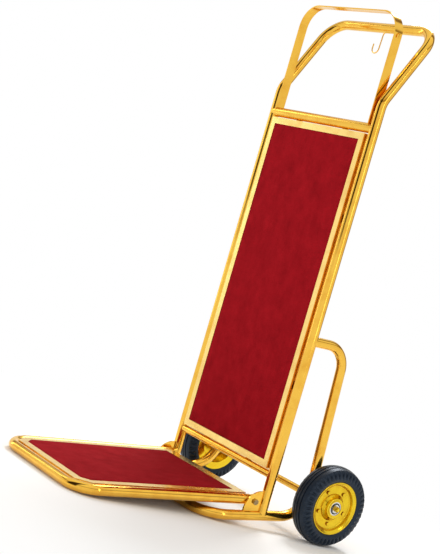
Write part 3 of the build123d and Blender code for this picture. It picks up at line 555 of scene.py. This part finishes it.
def make_outer_rim(side):
    """Pressed outboard disc: rolled lip, dished wall, flat face for the bolts."""
    set_up = sizes()
    low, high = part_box(side + "_rim_outer")
    middle = Vector(JOINTS[side + "_wheel_spin"]["pos_m"])
    hub_low, hub_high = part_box(side + "_hub")
    flange = (high.z - low.z) / 2
    hub = (hub_high.z - hub_low.z) / 2 + 0.0001
    disc, lip = sorted((abs(low.x - middle.x), abs(high.x - middle.x)))
    sheet = 0.002
    bend = 0.0035
    roll = set_up.lip_radius
    foot = flange * 0.84
    face = [(disc + sheet, hub), (disc + sheet, foot * 0.6), (disc + sheet, foot - bend)]
    face += arc((disc + sheet + bend, foot - bend), bend, 180, 110, 4)[1:]
    face += [(lip - 0.0056, foot + 0.0014), (lip - 0.0038, foot + 0.0026), (lip - 0.0030, flange - 0.0060)]
    rolled = arc((lip - roll, flange - roll), roll, -60, 190, 12)
    back = [(lip - 0.0054, flange - 0.0050), (lip - 0.0078, foot + 0.0034)]
    back += [(disc + 0.0025, foot + 0.0012), (disc, foot - 0.003), (disc, hub)]
    shape = lathe(face + rolled + back, 128)
    place_wheel(shape, side)
    rim = add_piece(side + "_pressed_rim", shape, side + "_wheel", "wheel_gold", side + "_rim_outer")
    smooth(rim, 42)
    return rim


def make_hub_boss(side):
    """Raised conical boss round the outboard bearing."""
    low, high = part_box(side + "_hub")
    middle = Vector(JOINTS[side + "_wheel_spin"]["pos_m"])
    rim_low, rim_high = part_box(side + "_rim_outer")
    hub = (high.z - low.z) / 2
    reach = (high.x - low.x) / 2
    seat = min(abs(rim_low.x - middle.x), abs(rim_high.x - middle.x)) + 0.002
    foot = hub + 0.0135
    crown = reach - 0.0006
    bend = 0.0026
    outer = [(seat, foot), (seat + 0.0008, foot - 0.0002)]
    outer += [(seat + 0.0030, foot - 0.0030), (crown - 0.0032, hub + 0.0052)]
    outer += arc((crown - bend, hub + 0.0028), bend, 65, 0, 5)
    outer += [(crown, hub - 0.0015), (crown - 0.0012, hub - 0.0032)]
    outer += [(crown - bend, hub - 0.0032), (crown - 0.003, hub), (seat, hub)]
    shape = lathe(outer, 96)
    place_wheel(shape, side)
    boss = add_piece(side + "_hub_boss", shape, side + "_wheel", "wheel_gold")
    smooth(boss, 40)
    return boss


# --- Stage ------------------------------------------------------------------------------
def floor_material():
    """Pale floor near the cart that melts into the white background further out."""
    material, tree, shader = new_material("studio_floor")
    shader.inputs["Base Color"].default_value = (0.93, 0.93, 0.93, 1.0)
    shader.inputs["Roughness"].default_value = 0.9
    shader.inputs["Specular IOR Level"].default_value = 0.0
    glow = tree.nodes.new("ShaderNodeEmission")
    glow.inputs["Strength"].default_value = 1.0
    mix = tree.nodes.new("ShaderNodeMixShader")
    place = tree.nodes.new("ShaderNodeTexCoord")
    length = tree.nodes.new("ShaderNodeVectorMath")
    length.operation = "LENGTH"
    tree.links.new(place.outputs["Object"], length.inputs[0])
    tree.links.new(spread(tree, length.outputs["Value"], 0.55, 1.25), mix.inputs["Fac"])
    tree.links.new(shader.outputs["BSDF"], mix.inputs[1])
    tree.links.new(glow.outputs["Emission"], mix.inputs[2])
    tree.links.new(mix.outputs["Shader"], tree.nodes["Material Output"].inputs["Surface"])
    return material


def make_floor():
    half = bpy.context.scene.cart_stage.floor_size
    shape = bmesh.new()
    bmesh.ops.create_grid(shape, x_segments=2, y_segments=2, size=half)
    mesh = bpy.data.meshes.new("studio_floor")
    shape.to_mesh(mesh)
    shape.free()
    floor = bpy.data.objects.new("studio_floor", mesh)
    bpy.context.scene.collection.objects.link(floor)
    floor.data.materials.append(floor_material())


def ramp_node(tree, value, stops):
    """Colour ramp over 0..1 from (position, grey or colour) stops."""
    ramp = tree.nodes.new("ShaderNodeValToRGB")
    while len(ramp.color_ramp.elements) < len(stops):
        ramp.color_ramp.elements.new(0.5)
    for element, (spot, colour) in zip(ramp.color_ramp.elements, stops):
        element.position = spot
        element.color = (*colour, 1.0)
    tree.links.new(value, ramp.inputs["Fac"])
    return ramp.outputs["Color"]


def make_world():
    """White behind the cart; for reflections a pale room with dark flags standing round it."""
    world = bpy.data.worlds.new("studio")
    bpy.context.scene.world = world
    world.use_nodes = True
    tree = world.node_tree
    room = tree.nodes["Background"]
    place = tree.nodes.new("ShaderNodeTexCoord")
    split = tree.nodes.new("ShaderNodeSeparateXYZ")
    tree.links.new(place.outputs["Generated"], split.inputs["Vector"])
    height = spread(tree, split.outputs["Z"], -1, 1)
    bearing = maths(tree, "ARCTAN2", split.outputs["Y"], split.outputs["X"])
    bearing = spread(tree, bearing, -math.pi, math.pi)
    pale, soft_flag, flag = (0.92, 0.91, 0.88), (0.24, 0.18, 0.13), (0.05, 0.035, 0.025)
    rail = (0.30, 0.24, 0.18)
    levels = ramp_node(tree, height, [
        (0.0, (0.80, 0.80, 0.80)), (0.69, pale), (0.715, rail), (0.745, rail),
        (0.78, (0.85, 0.85, 0.85)), (1.0, (1.0, 1.0, 1.0))])
    flags = ramp_node(tree, bearing, [
        (0.0, pale), (0.185, pale), (0.205, flag), (0.295, flag), (0.315, pale),
        (0.70, pale), (0.73, soft_flag), (0.78, soft_flag), (0.81, pale), (1.0, pale)])
    both = tree.nodes.new("ShaderNodeMix")
    both.data_type = "RGBA"
    both.blend_type = "MULTIPLY"
    both.inputs["Factor"].default_value = 1.0
    tree.links.new(levels, both.inputs["A"])
    tree.links.new(flags, both.inputs["B"])
    tree.links.new(both.outputs["Result"], room.inputs["Color"])
    room.inputs["Strength"].default_value = 1.15
    white = tree.nodes.new("ShaderNodeBackground")
    path = tree.nodes.new("ShaderNodeLightPath")
    mix = tree.nodes.new("ShaderNodeMixShader")
    white.inputs["Color"].default_value = (1, 1, 1, 1)
    tree.links.new(path.outputs["Is Camera Ray"], mix.inputs["Fac"])
    tree.links.new(room.outputs["Background"], mix.inputs[1])
    tree.links.new(white.outputs["Background"], mix.inputs[2])
    tree.links.new(mix.outputs["Shader"], tree.nodes["World Output"].inputs["Surface"])


def aimed(name, data, place, target, roll=0.0):
    """An object that looks from place at target."""
    thing = bpy.data.objects.new(name, data)
    bpy.context.scene.collection.objects.link(thing)
    turn = (Vector(target) - Vector(place)).to_track_quat("-Z", "Y").to_matrix().to_4x4()
    thing.matrix_world = Matrix.Translation(place) @ turn @ Matrix.Rotation(roll, 4, "Z")
    return thing


def make_softbox(name, place, target, width, height, power, mirrored=True):
    light = bpy.data.lights.new(name, "AREA")
    light.shape = "RECTANGLE"
    light.size = width
    light.size_y = height
    light.energy = power
    aimed(name, light, place, target).visible_glossy = mirrored


def make_lights():
    power = bpy.context.scene.cart_stage.key_power
    middle = (0.0, 0.0, 0.6)
    make_softbox("overhead_softbox", (-1.3, 1.5, 3.0), (0.0, -0.1, 0.2), 1.1, 1.1, power)
    make_softbox("front_softbox", (0.4, -3.6, 1.5), middle, 1.8, 1.8, power * 0.75, mirrored=False)
    make_softbox("left_strip", (-2.4, -1.2, 1.3), middle, 0.22, 2.4, power * 0.10)
    make_softbox("right_strip", (3.0, 0.4, 1.4), middle, 0.22, 2.4, power * 0.12)


def make_camera():
    stage = bpy.context.scene.cart_stage
    camera = bpy.data.cameras.new("camera")
    camera.lens = stage.lens
    camera.sensor_width = 36.0
    bpy.context.scene.camera = aimed(
        "camera", camera, stage.camera_place, stage.camera_target, stage.camera_roll)


# --- Operators --------------------------------------------------------------------------
class CART_OT_finishes(bpy.types.Operator):
    """Give every piece of the frame, wheels and platform its finish"""
    bl_idname = "cart.finishes"
    bl_label = "Finish Metal and Wood"

    def execute(self, context):
        for part in frame["record"]["subparts"]:
            node = frame["nodes"][part["node"]]
            node.data.materials.clear()
            node.data.materials.append(finish_material(part["material_slot"]))
        return {"FINISHED"}


class CART_OT_carpets(bpy.types.Operator):
    """Lay the pile on the back panel and on the platform"""
    bl_idname = "cart.carpets"
    bl_label = "Lay Carpets"

    def execute(self, context):
        make_carpet("panel_pile", "panel_carpet", "back_rest", "frame", [])
        make_carpet("platform_pile", "platform_carpet", "load_deck", "platform",
                    [(-1, -1), (1, -1)])
        return {"FINISHED"}


class CART_OT_wheels(bpy.types.Operator):
    """Fit treaded tyres, pressed rims and hub bosses"""
    bl_idname = "cart.wheels"
    bl_label = "Fit Wheels"

    def execute(self, context):
        for side in SIDES:
            make_tyre(side)
            make_outer_rim(side)
            make_hub_boss(side)
        return {"FINISHED"}


class CART_OT_stage(bpy.types.Operator):
    """Build the floor, the light and the camera"""
    bl_idname = "cart.stage"
    bl_label = "Build Studio"

    def execute(self, context):
        make_camera()
        make_floor()
        make_world()
        make_lights()
        context.scene.view_settings.view_transform = "Standard"
        return {"FINISHED"}


class CART_PT_panel(bpy.types.Panel):
    """Sizes, colours and the steps that finish the cart"""
    bl_idname = "CART_PT_panel"
    bl_label = "Luggage Cart"
    bl_space_type = "VIEW_3D"
    bl_region_type = "UI"
    bl_category = "Luggage Cart"

    def draw(self, context):
        for group in (context.scene.cart_sizes, context.scene.cart_colours, context.scene.cart_stage):
            box = self.layout.box()
            for name in group.__annotations__:
                box.prop(group, name)
        for operator in OPERATORS:
            self.layout.operator(operator.bl_idname)


GROUPS = {"cart_sizes": CartSizes, "cart_colours": CartColours, "cart_stage": CartStage}
OPERATORS = (CART_OT_stage, CART_OT_finishes, CART_OT_carpets, CART_OT_wheels)


def register():
    for cls in (*GROUPS.values(), *OPERATORS, CART_PT_panel):
        bpy.utils.register_class(cls)
    for name, group in GROUPS.items():
        setattr(bpy.types.Scene, name, PointerProperty(type=group))


def unregister():
    for name in GROUPS:
        delattr(bpy.types.Scene, name)
    for cls in reversed((*GROUPS.values(), *OPERATORS, CART_PT_panel)):
        bpy.utils.unregister_class(cls)


def main():
    register()
    bpy.ops.cart.stage()
    bpy.ops.cart.finishes()
    bpy.ops.cart.carpets()
    bpy.ops.cart.wheels()


if __name__ == "__main__":
    main()
